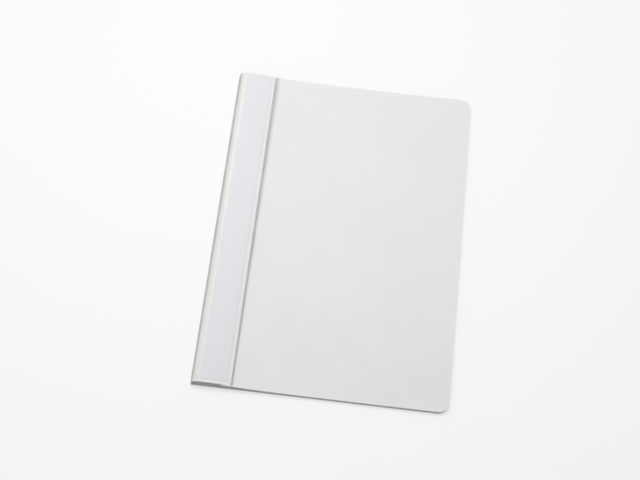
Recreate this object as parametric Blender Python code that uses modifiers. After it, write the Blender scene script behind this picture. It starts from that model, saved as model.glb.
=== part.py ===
"""A closed A4 fastener folder in plastic film, with a label pocket at its spine and a prong fastener inside.

Metres, +Z up. The folder lies on its back cover at z = 0, with the spine at -X, the fore-edge at +X and the
head at +Y. In the functions below, x is measured from the outer face of the spine and z from the table.
"""

import math

import bmesh
import bpy
from mathutils import Matrix, Vector

# The closed folder, highest at the crown of its strip
LENGTH = 0.310
WIDTH = 0.226
CROWN_HEIGHT = 0.0125
CORNER_RADIUS = 0.009

# Films
SHEET_FILM = 0.0005
COVER_FILM = 0.0004
CREASE_FILM = 0.00035
FOLD_RADIUS = 0.0015
SEAM_GAP = 0.0002

# Front strip: it rises from the front fold to its crown and falls to the groove, where the cover is welded on
STRIP_START = 0.0024
STRIP_WIDTH = 0.0354
CROWN_X = 0.011
STRIP_RISE = 0.0024
STRIP_FALL = 0.0025
TAB_WIDTH = 0.008

# Front cover: it leaves the groove, swells, settles over the back cover and lifts at the fore-edge
COVER_REST = 0.0047
COVER_GAP = 0.0008
GROOVE_DEPTH = 0.0015
GROOVE_OFFSET = 0.0009
GROOVE_RUN = 0.0009
CREASE_WIDTH = 0.0028
COVER_SETTLE = 0.024
FORE_EDGE_LIFT = 0.0012
FORE_EDGE_RUN = 0.076

# Label pocket on the strip: its film is welded down along both sides and across the foot
WINDOW_FILM = 0.0002
WINDOW_END_INSET = 0.001
POCKET_SPINE_MARGIN = 0.006
POCKET_GROOVE_MARGIN = 0.0005
POCKET_WELD = 0.0015
POCKET_STEP = 0.0005
LABEL_PAPER = 0.0002
LABEL_SIDE_GAP = 0.0005
LABEL_HEAD_INSET = 0.002
LABEL_FOOT_INSET = 0.004

# Fastener
SEAT_GAP = 0.00025
PRONG_SPACING = 0.080
PRONG_WIDTH = 0.005
PRONG_METAL = 0.00035
PRONG_REACH = 0.027
PRONG_BEND = 0.0008
SLOT_SIDE_GAP = 0.0004
SLOT_WIDTH = 0.0022
FLAP_FILM = 0.0004
FLAP_SETBACK = 0.0045
FLAP_WIDTH = 0.026
FLAP_END = 0.034
FLAP_STEP = 0.0012
FLAP_CORNER = 0.004
BAR_WIDTH = 0.009
BAR_METAL = 0.00035
BAR_DEPTH = 0.0013
BAR_END = 0.012
BAR_BEND = 0.0006
LOCK_METAL = 0.0003
LOCK_LENGTH = 0.010
LOCK_LIP = 0.0025
LOCK_BEND = 0.0006
LOCK_COVER = 0.001

# Heights of the stack at the fastener, from the back cover up
BACK_TOP = SHEET_FILM
BASE_BOTTOM = BACK_TOP + SEAT_GAP
FLAP_LAND_TOP = BACK_TOP + SEAT_GAP + FLAP_FILM
FLAP_TOP = BASE_BOTTOM + PRONG_METAL + SEAT_GAP + FLAP_FILM
LOCK_BOTTOM = FLAP_TOP + SEAT_GAP
BAR_BOTTOM = LOCK_BOTTOM + LOCK_METAL + SEAT_GAP
PRONG_TOP = BAR_BOTTOM + BAR_METAL + SEAT_GAP + PRONG_METAL
LOCK_TOP = max(PRONG_TOP, BAR_BOTTOM + BAR_DEPTH) + SEAT_GAP + LOCK_METAL

# Places worked out from the sizes
SPINE_X = -WIDTH / 2
HALF_LENGTH = LENGTH / 2
FASTENER_X = SHEET_FILM + FLAP_SETBACK + FLAP_WIDTH / 2
FLAP_RAISED_WIDTH = PRONG_WIDTH + 2 * (SLOT_SIDE_GAP + FLAP_STEP)
PRONG_TIP_Y = PRONG_SPACING / 2 - PRONG_REACH
LOCK_INNER_Y = PRONG_TIP_Y + LOCK_COVER
POCKET_HEIGHT = SEAM_GAP + LABEL_PAPER + SEAM_GAP + WINDOW_FILM
POCKET_LEFT = POCKET_SPINE_MARGIN + POCKET_WELD + POCKET_STEP
POCKET_RIGHT = STRIP_WIDTH - POCKET_GROOVE_MARGIN - POCKET_WELD - POCKET_STEP
CREASE_START = STRIP_WIDTH + SEAM_GAP
COVER_START = CREASE_START + CREASE_WIDTH + SEAM_GAP
HINGE_X = CREASE_START + CREASE_WIDTH / 2

# How finely curves are cut into flats
ARC_STEPS = 6
GROOVE_STEPS = 12
CORNER_STEPS = 10
STRIP_STEPS = 14
COVER_STEPS = 34
COVER_CROWDING = 1.9

# How far a cutter runs past what it trims, and how close points are that become one
CUT_PAST = 0.002
MERGE_REACH = 0.000001

# Finishes
FILM_GREY = (0.83, 0.825, 0.805)
FILM_ROUGHNESS = 0.55
COVER_GREY = (0.78, 0.77, 0.773)
COVER_ROUGHNESS = 0.55
CLEAR_FILM = (0.86, 0.87, 0.87)
CLEAR_ROUGHNESS = 0.4
CLEAR_ALPHA = 0.3
PAPER_WHITE = (0.80, 0.795, 0.83)
PAPER_ROUGHNESS = 0.85
TINPLATE = (0.62, 0.62, 0.60)
TINPLATE_ROUGHNESS = 0.32


def strip_top(x):
    """Height of the strip's upper face, which falls both ways from its crown."""
    if x < CROWN_X:
        return CROWN_HEIGHT - STRIP_RISE * ((CROWN_X - x) / (CROWN_X - STRIP_START)) ** 2
    return CROWN_HEIGHT - STRIP_FALL * ((x - CROWN_X) / (STRIP_WIDTH - CROWN_X)) ** 2


def tab_top(x):
    """Height of the upper face of the cover's welded margin, just under the strip."""
    return strip_top(x) - SHEET_FILM - SEAM_GAP


def groove(run):
    """Depth of the pressed groove at a distance from the strip's edge."""
    return GROOVE_DEPTH * math.exp(-(((run - GROOVE_OFFSET) / GROOVE_RUN) ** 2))


def cover_top(x):
    """Height of the front cover's upper face, from the groove to the fore-edge."""
    rest = BACK_TOP + COVER_REST + COVER_FILM
    rise = tab_top(STRIP_WIDTH) + groove(0) - rest
    run = x - STRIP_WIDTH
    lift = max(0.0, (x - (WIDTH - FORE_EDGE_RUN)) / FORE_EDGE_RUN)
    return rest + rise * math.exp(-run / COVER_SETTLE) - groove(run) + FORE_EDGE_LIFT * lift**2


# The spine's two folds, by their centres (x, z) and the ways that the film beside them faces, in degrees.
# The front fold leads into the rising strip, and the flat spine leans over from the back fold to it
STRIP_SLOPE = math.atan(2 * STRIP_RISE / (CROWN_X - STRIP_START))
BACK_FOLD = (FOLD_RADIUS, FOLD_RADIUS)
FRONT_FOLD = (
    STRIP_START + FOLD_RADIUS * math.sin(STRIP_SLOPE),
    strip_top(STRIP_START) - FOLD_RADIUS * math.cos(STRIP_SLOPE),
)
SPINE_LEAN = math.atan2(FRONT_FOLD[0] - BACK_FOLD[0], FRONT_FOLD[1] - BACK_FOLD[1])
DOWNWARD = 270
SPINE_FACING = 180 - math.degrees(SPINE_LEAN)
STRIP_FACING = 90 + math.degrees(STRIP_SLOPE)


def hinge_height():
    """Height of the cover's axis: turned right back, the cover clears the pocket by its own gap."""
    meets = cover_top(2 * HINGE_X - POCKET_RIGHT)
    return (strip_top(POCKET_RIGHT) + POCKET_HEIGHT + COVER_GAP + meets) / 2


def steps(start, end, count, crowding=1.0):
    """Values from start to end, closer together near the start where crowding is over 1."""
    return [start + (end - start) * (i / max(count, 1)) ** crowding for i in range(count + 1)]


def on_circle(centre, angle):
    """The point (x, z) of a fold's outer face at an angle in degrees from +X towards +Z."""
    turn = math.radians(angle)
    return (centre[0] + FOLD_RADIUS * math.cos(turn), centre[1] + FOLD_RADIUS * math.sin(turn))


def fold_arc(centre, start_angle, end_angle):
    """Points (x, z) along a fold's outer face, between two angles."""
    return [on_circle(centre, angle) for angle in steps(start_angle, end_angle, ARC_STEPS)]


def rounded(points, radius):
    """The path through these points with each inner corner turned on an arc."""
    path = [Vector(points[0])]
    for before, corner, after in zip(points, points[1:], points[2:]):
        corner = Vector(corner)
        back = (Vector(before) - corner).normalized()
        ahead = (Vector(after) - corner).normalized()
        half_angle = back.angle(ahead) / 2
        reach = radius / math.tan(half_angle)
        centre = corner + (back + ahead).normalized() * radius / math.sin(half_angle)
        first = (corner + back * reach - centre).normalized()
        last = (corner + ahead * reach - centre).normalized()
        path += [centre + first.slerp(last, i / ARC_STEPS) * radius for i in range(ARC_STEPS + 1)]
    return path + [Vector(points[-1])]


def across(points):
    """Points (x, z) of a cross-section as places in space, at the middle of the folder's length."""
    return [Vector((SPINE_X + x, 0, z)) for x, z in points]


def finish(name, colour, roughness, metallic=0.0, alpha=1.0):
    """A material with these values on its Principled BSDF."""
    material = bpy.data.materials.new(name)
    material.use_nodes = True
    shader = material.node_tree.nodes["Principled BSDF"]
    shader.inputs["Base Color"].default_value = (*colour, 1.0)
    shader.inputs["Roughness"].default_value = roughness
    shader.inputs["Metallic"].default_value = metallic
    shader.inputs["Alpha"].default_value = alpha
    return material


def pivot(name, place, parent=None):
    """An empty on a joint's axis, which the pieces of one moving body hang from."""
    empty = bpy.data.objects.new(name, None)
    empty.location = Vector(place) - (parent["place"] if parent else Vector())
    empty.parent = parent["empty"] if parent else None
    folder.objects.link(empty)
    return {"empty": empty, "place": Vector(place)}


def piece(name, mesh, material, hung_from=None):
    """A named part in the folder's collection, hung from its joint's empty where it moves."""
    obj = bpy.data.objects.new(name, mesh)
    mesh.materials.append(material)
    folder.objects.link(obj)
    if hung_from:
        obj.parent = hung_from["empty"]
        obj.location = -hung_from["place"]
    return obj


def cutter(name, mesh):
    """A helper solid for a Boolean, drawn as wire and left out of the folder."""
    obj = bpy.data.objects.new(name, mesh)
    obj.hide_render = True
    obj.display_type = "WIRE"
    cutters.objects.link(obj)
    return obj


def cut(obj, tool, operation):
    modifier = obj.modifiers.new(tool.name, "BOOLEAN")
    modifier.operation = operation
    modifier.object = tool
    modifier.solver = "EXACT"


def swept(path, sweep):
    """Two rows of points: the path moved both ways by half of sweep."""
    half = Vector(sweep) / 2
    return [[point - half for point in path], [point + half for point in path]]


def open_surface(rows):
    """An open surface through rows of points, facing along a row's run crossed with the way to the next."""
    bm = bmesh.new()
    chains = [[bm.verts.new(point) for point in row] for row in rows]
    edges = [[bm.edges.new(pair) for pair in zip(chain, chain[1:])] for chain in chains]
    for near, far in zip(edges, edges[1:]):
        bmesh.ops.bridge_loops(bm, edges=near + far)
    bmesh.ops.recalc_face_normals(bm, faces=bm.faces[:])
    outward = (rows[0][1] - rows[0][0]).cross(rows[1][0] - rows[0][0])
    if chains[0][0].link_faces[0].normal.dot(outward) < 0:
        bmesh.ops.reverse_faces(bm, faces=bm.faces[:])
    mesh = bpy.data.meshes.new("surface")
    bm.to_mesh(mesh)
    bm.free()
    mesh.shade_smooth()
    return mesh


def sheet(name, rows, thickness, material, hung_from=None):
    """A bent sheet of even thickness, whose outer face is the surface through these rows."""
    obj = piece(name, open_surface(rows), material, hung_from)
    solidify = obj.modifiers.new("thickness", "SOLIDIFY")
    solidify.thickness = thickness
    solidify.offset = -1
    solidify.use_even_offset = True
    return obj


def outline(left, right, half_length, left_radius, right_radius):
    """Outline (x, y) of a flat shape about the middle of the length, with the corners at each side round."""
    upper = []
    for side, radius, first, last in ((right, right_radius, 0, 90), (left, left_radius, 90, 180)):
        centre_x = side - radius if first == 0 else side + radius
        for angle in steps(first, last, CORNER_STEPS if radius else 0):
            turn = math.radians(angle)
            upper.append((centre_x + radius * math.cos(turn), half_length + radius * (math.sin(turn) - 1)))
    return upper + [(x, -y) for x, y in reversed(upper)]


def plate(shape, low, high):
    """A flat plate of this shape (x, y) between two heights, as a closed mesh."""
    curve = bpy.data.curves.new("outline", "CURVE")
    curve.dimensions = "2D"
    curve.fill_mode = "BOTH"
    curve.extrude = (high - low) / 2
    spline = curve.splines.new("POLY")
    spline.points.add(len(shape) - 1)
    for point, (x, y) in zip(spline.points, shape):
        point.co = (SPINE_X + x, y, 0, 1)
    spline.use_cyclic_u = True
    flat = bpy.data.objects.new("outline", curve)
    bpy.context.scene.collection.objects.link(flat)
    mesh = bpy.data.meshes.new_from_object(flat.evaluated_get(bpy.context.evaluated_depsgraph_get()))
    bpy.data.objects.remove(flat)
    bm = bmesh.new()
    bm.from_mesh(mesh)
    bmesh.ops.remove_doubles(bm, verts=bm.verts[:], dist=MERGE_REACH)
    bmesh.ops.translate(bm, verts=bm.verts[:], vec=(0, 0, (low + high) / 2))
    bmesh.ops.recalc_face_normals(bm, faces=bm.faces[:])
    bm.to_mesh(mesh)
    bm.free()
    return mesh


def trim(obj, shape):
    """Keeps of the piece what lies inside this shape, seen from above."""
    mesh = plate(shape, -CUT_PAST, CROWN_HEIGHT + CUT_PAST)
    cut(obj, cutter(obj.name + "_outline", mesh), "INTERSECT")


def slot_cutter(name, y):
    """A box that cuts the prong's slot at this place along the spine."""
    size = Vector((PRONG_WIDTH + 2 * SLOT_SIDE_GAP, SLOT_WIDTH, CROWN_HEIGHT))
    bm = bmesh.new()
    place = Matrix.Translation((SPINE_X + FASTENER_X, y, CROWN_HEIGHT / 2)) @ Matrix.Diagonal((*size, 1))
    bmesh.ops.create_cube(bm, size=1, matrix=place)
    mesh = bpy.data.meshes.new(name)
    bm.to_mesh(mesh)
    bm.free()
    return cutter(name, mesh)


def build_back_sheet():
    """Back cover, spine and strip: one film in five pieces, parted at its two creases."""
    along = (0, LENGTH, 0)
    film = finish("back_film", FILM_GREY, FILM_ROUGHNESS)
    back_shape = outline(FOLD_RADIUS + SEAM_GAP, WIDTH, HALF_LENGTH, 0, CORNER_RADIUS)
    piece("back_cover", plate(back_shape, 0, BACK_TOP), film)

    fold = finish("back_fold_film", FILM_GREY, FILM_ROUGHNESS)
    lower_turn = fold_arc(BACK_FOLD, DOWNWARD, SPINE_FACING)
    sheet("back_crease", swept(across(lower_turn), along), CREASE_FILM, fold)

    spine_film = finish("spine_film", FILM_GREY, FILM_ROUGHNESS)
    low = Vector(on_circle(BACK_FOLD, SPINE_FACING))
    high = Vector(on_circle(FRONT_FOLD, SPINE_FACING))
    gap = (high - low).normalized() * SEAM_GAP
    sheet("spine_panel", swept(across([low + gap, high - gap]), along), SHEET_FILM, spine_film, spine_fold)

    front_fold = finish("front_fold_film", FILM_GREY, FILM_ROUGHNESS)
    upper_turn = fold_arc(FRONT_FOLD, SPINE_FACING, STRIP_FACING)
    sheet("front_crease", swept(across(upper_turn), along), CREASE_FILM, front_fold, spine_fold)

    strip_film = finish("strip_film", FILM_GREY, FILM_ROUGHNESS)
    strip_run = [(x, strip_top(x)) for x in steps(STRIP_START + SEAM_GAP, STRIP_WIDTH, STRIP_STEPS)]
    sheet("label_strip", swept(across(strip_run), along), SHEET_FILM, strip_film, strip_fold)


def build_front_cover():
    """The cover's film: its margin welded under the strip, the crease of the groove, and the cover itself."""
    along = (0, LENGTH, 0)
    tab_run = [(x, tab_top(x)) for x in steps(STRIP_WIDTH - TAB_WIDTH, STRIP_WIDTH, ARC_STEPS)]
    tab_film = finish("tab_film", COVER_GREY, COVER_ROUGHNESS)
    sheet("cover_tab", swept(across(tab_run), along), COVER_FILM, tab_film, strip_fold)

    crease_xs = steps(CREASE_START, CREASE_START + CREASE_WIDTH, GROOVE_STEPS)
    crease_film = finish("groove_film", COVER_GREY, COVER_ROUGHNESS)
    crease_run = [(x, cover_top(x)) for x in crease_xs]
    sheet("cover_crease", swept(across(crease_run), along), CREASE_FILM, crease_film, strip_fold)

    cover_xs = steps(COVER_START, WIDTH + CUT_PAST, COVER_STEPS, COVER_CROWDING)
    cover_run = [(x, cover_top(x)) for x in cover_xs]
    past_ends = (0, LENGTH + 2 * CUT_PAST, 0)
    film = finish("cover_film", COVER_GREY, COVER_ROUGHNESS)
    cover = sheet("front_cover", swept(across(cover_run), past_ends), COVER_FILM, film, cover_fold)
    cover_shape = outline(COVER_START - CUT_PAST, WIDTH, HALF_LENGTH, 0, CORNER_RADIUS)
    trim(cover, cover_shape)


def build_label_pocket():
    """The clear film welded to the strip, open at the head, and the paper label that slides in it."""
    weld_top = SEAM_GAP + WINDOW_FILM
    left = POCKET_SPINE_MARGIN
    right = STRIP_WIDTH - POCKET_GROOVE_MARGIN
    raised_xs = steps(POCKET_LEFT, POCKET_RIGHT, STRIP_STEPS)
    window_xs = [left, left + POCKET_WELD, *raised_xs, right - POCKET_WELD, right]
    side_heights = [weld_top, weld_top]
    raised_heights = side_heights + [POCKET_HEIGHT] * len(raised_xs) + side_heights
    welded_heights = [weld_top] * len(window_xs)
    foot = -HALF_LENGTH + WINDOW_END_INSET
    head = HALF_LENGTH - WINDOW_END_INSET
    rows = []
    for y, heights in (
        (foot, welded_heights),
        (foot + POCKET_WELD, welded_heights),
        (foot + POCKET_WELD + POCKET_STEP, raised_heights),
        (head, raised_heights),
    ):
        row = across([(x, strip_top(x) + height) for x, height in zip(window_xs, heights)])
        rows.append([point + Vector((0, y, 0)) for point in row])
    clear = finish("window_film", CLEAR_FILM, CLEAR_ROUGHNESS, alpha=CLEAR_ALPHA)
    sheet("label_window", rows, WINDOW_FILM, clear, strip_fold)

    label_xs = steps(POCKET_LEFT + LABEL_SIDE_GAP, POCKET_RIGHT - LABEL_SIDE_GAP, STRIP_STEPS)
    label_run = [(x, strip_top(x) + SEAM_GAP + LABEL_PAPER) for x in label_xs]
    label_length = LENGTH - LABEL_HEAD_INSET - LABEL_FOOT_INSET
    shift = Vector((0, (LABEL_FOOT_INSET - LABEL_HEAD_INSET) / 2, 0))
    label_path = [point + shift for point in across(label_run)]
    paper = finish("label_paper", PAPER_WHITE, PAPER_ROUGHNESS)
    sheet("label_insert", swept(label_path, (0, label_length, 0)), LABEL_PAPER, paper, label_slide)


def build_fastener_flap(slots):
    """The film welded to the back cover over the fastener's base, raised along its middle."""
    left = FASTENER_X - FLAP_WIDTH / 2
    raised_left = FASTENER_X - FLAP_RAISED_WIDTH / 2
    half = [(left - CUT_PAST, FLAP_LAND_TOP), (raised_left, FLAP_LAND_TOP)]
    half.append((raised_left + FLAP_STEP, FLAP_TOP))
    other_half = [(2 * FASTENER_X - x, z) for x, z in reversed(half)]
    half_length = PRONG_SPACING / 2 + FLAP_END
    past_ends = (0, 2 * (half_length + CUT_PAST), 0)
    film = finish("flap_film", FILM_GREY, FILM_ROUGHNESS)
    flap = sheet("fastener_flap", swept(across(half + other_half), past_ends), FLAP_FILM, film)
    trim(flap, outline(left, left + FLAP_WIDTH, half_length, FLAP_CORNER, FLAP_CORNER))
    for slot in slots:
        cut(flap, slot, "DIFFERENCE")


def build_prong_strip():
    """One strip of tinplate: its base lies under the flap, and its two ends fold in over the bar."""
    far_y = PRONG_SPACING / 2 + PRONG_METAL / 2
    loop = [(-PRONG_TIP_Y, PRONG_TOP), (-far_y, PRONG_TOP), (-far_y, BASE_BOTTOM)]
    loop += [(far_y, BASE_BOTTOM), (far_y, PRONG_TOP), (PRONG_TIP_Y, PRONG_TOP)]
    loop = [Vector((SPINE_X + FASTENER_X, y, z)) for y, z in loop]
    metal = finish("prong_tinplate", TINPLATE, TINPLATE_ROUGHNESS, metallic=1.0)
    sheet("prong_strip", swept(rounded(loop, PRONG_BEND), (PRONG_WIDTH, 0, 0)), PRONG_METAL, metal)


def build_compressor_bar(slots):
    """The channel that presses on the sheets, with a slot for each prong."""
    low = BAR_BOTTOM
    high = BAR_BOTTOM + BAR_DEPTH
    half = BAR_WIDTH / 2
    channel = [(half, high), (half, low), (-half, low), (-half, high)]
    channel = across([(FASTENER_X + x, z) for x, z in channel])
    metal = finish("bar_tinplate", TINPLATE, TINPLATE_ROUGHNESS, metallic=1.0)
    half_length = PRONG_SPACING / 2 + BAR_END
    past_ends = (0, 2 * (half_length + CUT_PAST), 0)
    bar = sheet("compressor_bar", swept(rounded(channel, BAR_BEND), past_ends), BAR_METAL, metal)
    reach = half + SEAT_GAP
    trim(bar, outline(FASTENER_X - reach, FASTENER_X + reach, half_length, reach, reach))
    for slot in slots:
        cut(bar, slot, "DIFFERENCE")


def build_locks():
    """The two locks that slide on the bar, each shut over the end of a prong."""
    half = BAR_WIDTH / 2 + SEAT_GAP + LOCK_METAL
    lip = half - LOCK_LIP
    wrap = [(-lip, LOCK_BOTTOM), (-half, LOCK_BOTTOM), (-half, LOCK_TOP)]
    wrap += [(half, LOCK_TOP), (half, LOCK_BOTTOM), (lip, LOCK_BOTTOM)]
    wrap = across([(FASTENER_X + x, z) for x, z in wrap])
    for name, side, hung_from in (("upper_lock", 1, upper_slide), ("lower_lock", -1, lower_slide)):
        shift = Vector((0, side * (LOCK_INNER_Y + LOCK_LENGTH / 2), 0))
        path = [point + shift for point in rounded(wrap, LOCK_BEND)]
        metal = finish(name + "_tinplate", TINPLATE, TINPLATE_ROUGHNESS, metallic=1.0)
        sheet(name, swept(path, (0, LOCK_LENGTH, 0)), LOCK_METAL, metal, hung_from)


for old in list(bpy.data.objects):
    bpy.data.objects.remove(old)

folder = bpy.data.collections.new("fastener_folder")
cutters = bpy.data.collections.new("cutters")
bpy.context.scene.collection.children.link(folder)
bpy.context.scene.collection.children.link(cutters)

# Joint axes. Both spine axes lie in the film, at the middle of their folds
back_axis = on_circle(BACK_FOLD, (DOWNWARD + SPINE_FACING) / 2)
front_axis = on_circle(FRONT_FOLD, (SPINE_FACING + STRIP_FACING) / 2)
spine_fold = pivot("spine_fold_axis", across([back_axis])[0])
strip_fold = pivot("strip_fold_axis", across([front_axis])[0], spine_fold)
cover_fold = pivot("cover_fold_axis", (SPINE_X + HINGE_X, 0, hinge_height()), strip_fold)
strip_middle = (SPINE_X + STRIP_WIDTH / 2, 0, strip_top(STRIP_WIDTH / 2))
label_slide = pivot("label_slide_axis", strip_middle, strip_fold)
upper_slide = pivot("upper_lock_axis", (SPINE_X + FASTENER_X, LOCK_INNER_Y, LOCK_TOP))
lower_slide = pivot("lower_lock_axis", (SPINE_X + FASTENER_X, -LOCK_INNER_Y, LOCK_TOP))

build_back_sheet()
build_front_cover()
build_label_pocket()
prong_slots = [slot_cutter("head_slot", PRONG_SPACING / 2), slot_cutter("foot_slot", -PRONG_SPACING / 2)]
build_fastener_flap(prong_slots)
build_prong_strip()
build_compressor_bar(prong_slots)
build_locks()
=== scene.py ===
"""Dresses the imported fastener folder: its films, label pocket, paper label and tinplate fastener."""

import logging
import math
from collections.abc import Callable, Iterable, Sequence
from dataclasses import dataclass, field
from enum import Enum

import bmesh
import bpy
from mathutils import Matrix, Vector, noise
from mathutils.kdtree import KDTree


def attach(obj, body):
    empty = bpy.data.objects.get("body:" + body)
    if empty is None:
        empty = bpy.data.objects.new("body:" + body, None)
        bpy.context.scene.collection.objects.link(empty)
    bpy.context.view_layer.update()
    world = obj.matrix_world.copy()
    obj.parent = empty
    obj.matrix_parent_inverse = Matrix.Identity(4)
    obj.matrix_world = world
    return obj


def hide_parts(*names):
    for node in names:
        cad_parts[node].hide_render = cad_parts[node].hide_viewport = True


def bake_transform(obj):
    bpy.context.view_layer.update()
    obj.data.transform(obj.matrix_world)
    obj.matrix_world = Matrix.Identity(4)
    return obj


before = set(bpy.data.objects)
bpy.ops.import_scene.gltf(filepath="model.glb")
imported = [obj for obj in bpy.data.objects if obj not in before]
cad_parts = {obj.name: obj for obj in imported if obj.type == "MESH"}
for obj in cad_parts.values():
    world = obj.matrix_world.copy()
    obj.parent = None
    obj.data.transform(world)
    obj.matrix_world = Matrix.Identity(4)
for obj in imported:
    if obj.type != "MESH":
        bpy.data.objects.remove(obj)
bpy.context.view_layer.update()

LOG = logging.getLogger("fastener_folder")

Colour = tuple[float, float, float]
Triple = tuple[float, float, float]
Point = tuple[float, float]
Section = list[Point]
Cell = tuple[int, int]
Grid = list[list[Vector]]
Mark = Callable[[int, int], float]
Vert = bmesh.types.BMVert
Piece = bpy.types.Object
Material = bpy.types.Material
Node = bpy.types.Node
Socket = bpy.types.NodeSocket
Tree = bpy.types.NodeTree

# Distances of the close rows that hold a sheet's edge crisp
CLOSE_ROWS = (0.0, 0.0004, 0.0012)

# How near to a flat face's height a point still lies on it
LEVEL = 1e-7

# Where a Mix node keeps its share, its two colours and its mixed colour
MIX_COLOUR_INPUTS = (0, 6, 7)
MIX_COLOUR_OUTPUT = 2


class Body(Enum):
    """The folder's moving bodies."""

    BACK = "back"
    SPINE = "spine"
    STRIP = "strip"
    COVER = "cover"
    LABEL = "label"
    UPPER_LOCK = "upper_lock"
    LOWER_LOCK = "lower_lock"


class Slot(Enum):
    """The finishes that the record names."""

    SHEET_FILM = "sheet_film"
    COVER_FILM = "cover_film"
    WINDOW_FILM = "window_film"
    LABEL_PAPER = "label_paper"
    TINPLATE = "tinplate"


class Effect(Enum):
    """Surface effects that several finishes share."""

    GRAIN = "surface_grain"
    LINES = "drawn_lines"
    HANDLING = "handling_marks"
    EDGE_WEAR = "edge_wear"
    # Painted shade along folds and in the groove, and the tone of welds
    CREASE = "crease_stress"


@dataclass(frozen=True)
class FolderSizes:
    """Sizes that more than one sub-assembly uses, in metres, x from the spine's outer face."""

    length: float = 0.310
    width: float = 0.226
    crown_height: float = 0.0125
    corner_radius: float = 0.009
    fold_radius: float = 0.0015
    sheet_film: float = 0.0005
    cover_film: float = 0.0004
    seam_gap: float = 0.0002
    strip_start: float = 0.0024
    strip_width: float = 0.0354
    crown_x: float = 0.011
    strip_rise: float = 0.0024
    strip_fall: float = 0.0025
    cover_rest: float = 0.0047

    @property
    def half_length(self) -> float:
        """Half of the folder's length."""
        return self.length / 2

    def strip_top(self, x: float) -> float:
        """Height of the strip's upper face, which falls both ways from its crown.

        Args:
            x: Distance from the spine.

        Returns:
            The height.
        """
        if x < self.crown_x:
            share = (self.crown_x - x) / (self.crown_x - self.strip_start)
            return self.crown_height - self.strip_rise * share**2
        share = (x - self.crown_x) / (self.strip_width - self.crown_x)
        return self.crown_height - self.strip_fall * share**2

    @property
    def strip_slope(self) -> float:
        """Slope of the strip beside the front fold, in radians."""
        return math.atan(2 * self.strip_rise / (self.crown_x - self.strip_start))

    @property
    def back_fold(self) -> Point:
        """Centre (x, z) of the fold between the back cover and the spine."""
        return (self.fold_radius, self.fold_radius)

    @property
    def front_fold(self) -> Point:
        """Centre (x, z) of the fold between the spine and the strip.

        Returns:
            The centre, under the strip's start by the fold's radius.
        """
        slope = self.strip_slope
        low = self.strip_top(self.strip_start) - self.fold_radius * math.cos(slope)
        return (self.strip_start + self.fold_radius * math.sin(slope), low)

    @property
    def spine_facing(self) -> float:
        """The way that the leaning spine faces, in degrees from +X towards +Z."""
        (back_x, back_z), (front_x, front_z) = self.back_fold, self.front_fold
        return 180 - math.degrees(math.atan2(front_x - back_x, front_z - back_z))

    @property
    def strip_facing(self) -> float:
        """The way that the strip faces beside the front fold, in degrees from +X towards +Z."""
        return 90 + math.degrees(self.strip_slope)


SIZES = FolderSizes()
SPINE_X = -SIZES.width / 2


def place(x: float, y: float, z: float) -> Vector:
    """A point of the folder, with x measured from the spine's outer face."""
    return Vector((SPINE_X + x, y, z))


def unit(value: float) -> float:
    """A value kept between 0 and 1."""
    return max(0.0, min(1.0, value))


def even(start: float, end: float, count: int) -> list[float]:
    """Values from start to end in equal steps.

    Args:
        start: The first value.
        end: The last value.
        count: How many steps lie between them.

    Returns:
        The count + 1 values.
    """
    return [start + (end - start) * i / count for i in range(count + 1)]


def stations(start: float, end: float, step: float, near: Sequence[float] = CLOSE_ROWS) -> list[float]:
    """Values from start to end, with close ones beside both ends to hold a crisp edge.

    Args:
        start: The first value.
        end: The last value.
        step: Spacing over the middle.
        near: Distances of the close values from each end, the smallest first.

    Returns:
        The values in order.
    """
    first, last = start + near[-1], end - near[-1]
    count = max(1, round((last - first) / step))
    middle = even(first, last, count)
    return [start + d for d in near[:-1]] + middle + [end - d for d in reversed(near[:-1])]


def with_lines(values: Iterable[float], lines: Iterable[float], clear: float) -> list[float]:
    """Puts exact values among others.

    Args:
        values: The values to keep where they are not too close.
        lines: The exact values that have to be there.
        clear: How close to a line another value may come.

    Returns:
        All of them in order.
    """
    lines = list(lines)
    kept = [v for v in values if all(abs(v - line) > clear for line in lines)]
    return sorted(kept + lines)


def arc(centre: Point, radius: float, start: float, end: float, count: int) -> Section:
    """Points on an arc of a cross-section.

    Args:
        centre: The arc's centre (x, z).
        radius: Its radius.
        start: First angle in degrees, from +X towards +Z.
        end: Last angle in degrees.
        count: How many steps it is cut into.

    Returns:
        The points (x, z).
    """
    turns = [math.radians(a) for a in even(start, end, count)]
    return [(centre[0] + radius * math.cos(a), centre[1] + radius * math.sin(a)) for a in turns]


def rounded(corners: Section, radius: float, count: int, step: float) -> Section:
    """A bent path: straight runs with their corners turned on arcs.

    Args:
        corners: The path's ends and corners.
        radius: Radius of each bend.
        count: How many steps each bend is cut into.
        step: Spacing of points along the straight runs.

    Returns:
        Points along the path.
    """
    path = [Vector(corners[0])]
    for before, corner, after in zip(corners, corners[1:], corners[2:]):
        corner = Vector(corner)
        back = (Vector(before) - corner).normalized()
        ahead = (Vector(after) - corner).normalized()
        half = back.angle(ahead) / 2
        centre = corner + (back + ahead).normalized() * radius / math.sin(half)
        first = corner + back * radius / math.tan(half) - centre
        last = corner + ahead * radius / math.tan(half) - centre
        turned = [first.normalized().slerp(last.normalized(), i / count) for i in range(count + 1)]
        path += [centre + turn * radius for turn in turned]
    path.append(Vector(corners[-1]))
    filled = [path[0]]
    for point in path[1:]:
        start = filled[-1]
        parts = max(1, round((point - start).length / step))
        filled += [start.lerp(point, i / parts) for i in range(1, parts + 1)]
    return [tuple(point) for point in filled]


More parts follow.
